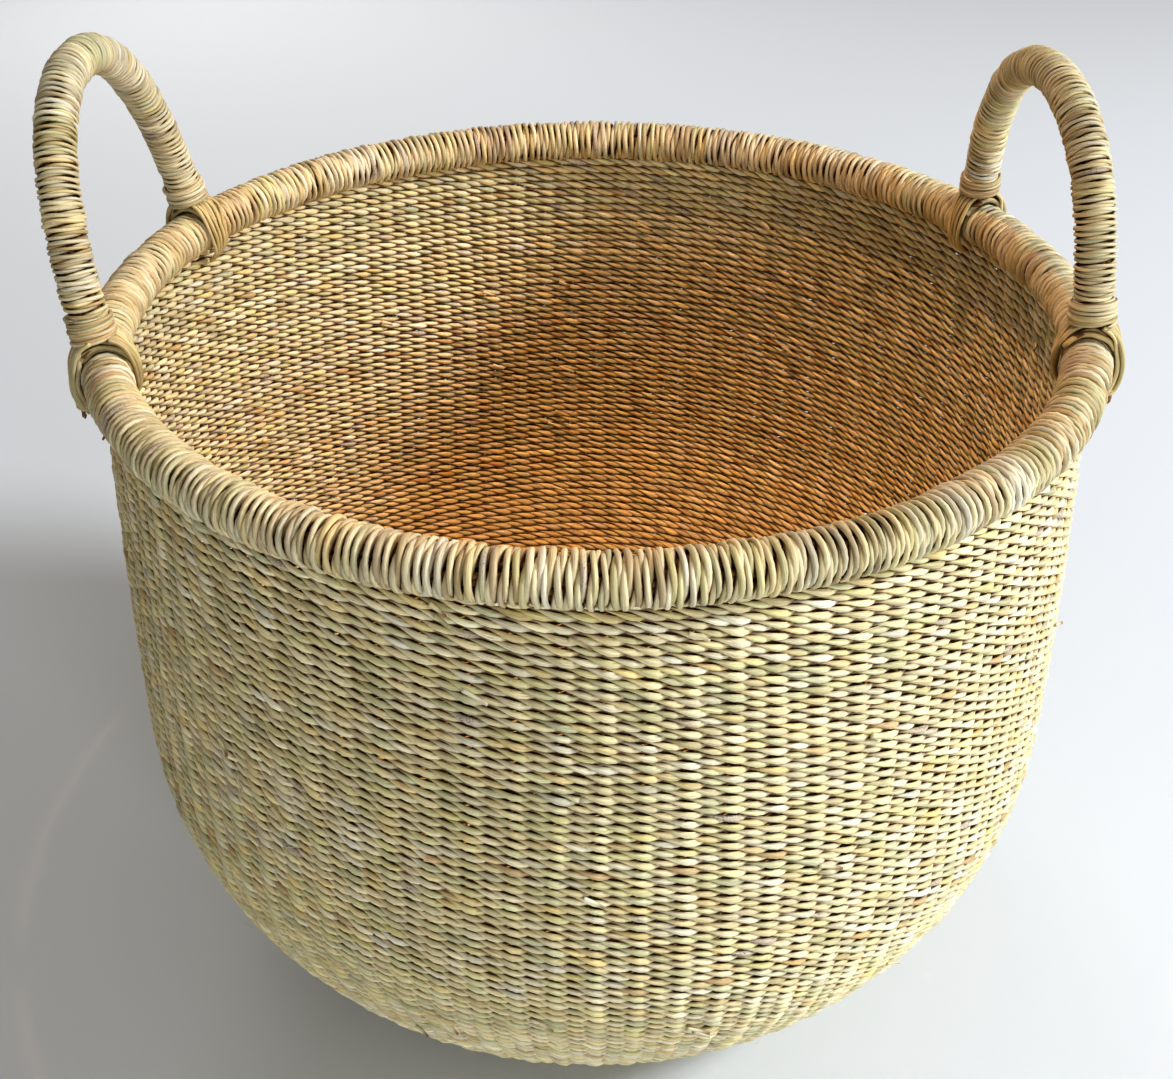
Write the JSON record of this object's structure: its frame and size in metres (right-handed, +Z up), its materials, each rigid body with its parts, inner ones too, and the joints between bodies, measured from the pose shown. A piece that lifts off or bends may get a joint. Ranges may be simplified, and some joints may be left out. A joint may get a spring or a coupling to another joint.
{
  "type": "storage basket",
  "caption": "Round open straw storage basket, twined over upright stakes, with a flat base, a full belly, a wrapped rim roll and lashed loop handles.",
  "frame": {"origin": "on the ground under the middle of the round base", "axes": "+Z up out of the mouth, X across the two handles, -Y towards the front"},
  "size_m": [0.4234, 0.4234, 0.419],
  "materials": {
    "weave_straw": "twined straw, satin",
    "weave_straw_inside": "twined straw, satin",
    "stake_straw": "bundled straw stems",
    "rim_straw": "wrapped straw, satin",
    "handle_straw": "wrapped straw, satin",
    "lashing_straw": "twisted straw strands",
    "knot_straw": "folded straw ends"
  },
  "bodies": {
    "basket": {"stakes": "stake_straw", "base_weave_outer": "weave_straw", "base_weave_inner": "weave_straw_inside", "wall_weave_outer": "weave_straw", "wall_weave_inner": "weave_straw_inside", "rim_core": "stake_straw", "rim_wrap": "rim_straw", "lashing_left_front_outer": "lashing_straw", "lashing_left_front_inner": "lashing_straw", "lashing_left_back_outer": "lashing_straw", "lashing_left_back_inner": "lashing_straw", "lashing_right_front_outer": "lashing_straw", "lashing_right_front_inner": "lashing_straw", "lashing_right_back_outer": "lashing_straw", "lashing_right_back_inner": "lashing_straw", "knot_left_front": "knot_straw", "knot_left_back": "knot_straw", "knot_right_front": "knot_straw", "knot_right_back": "knot_straw"},
    "handle_left": {"handle_left_wrap": "handle_straw", "handle_left_core": "stake_straw", "collar_left_front": "handle_straw", "collar_left_back": "handle_straw"},
    "handle_right": {"handle_right_wrap": "handle_straw", "handle_right_core": "stake_straw", "collar_right_front": "handle_straw", "collar_right_back": "handle_straw"}
  },
  "joints": [
    {"name": "left_handle_lean", "type": "hinge", "parent": "basket", "child": "handle_left", "pos_m": [-0.18746, 0.00655, 0.3125], "axis": [-0.0349, -0.9994, 0], "range_deg": [-27, 19]},
    {"name": "right_handle_lean", "type": "hinge", "parent": "basket", "child": "handle_right", "pos_m": [0.18637, 0.02123, 0.3125], "axis": [-0.1132, 0.9936, 0], "range_deg": [-15, 31]}
  ]
}
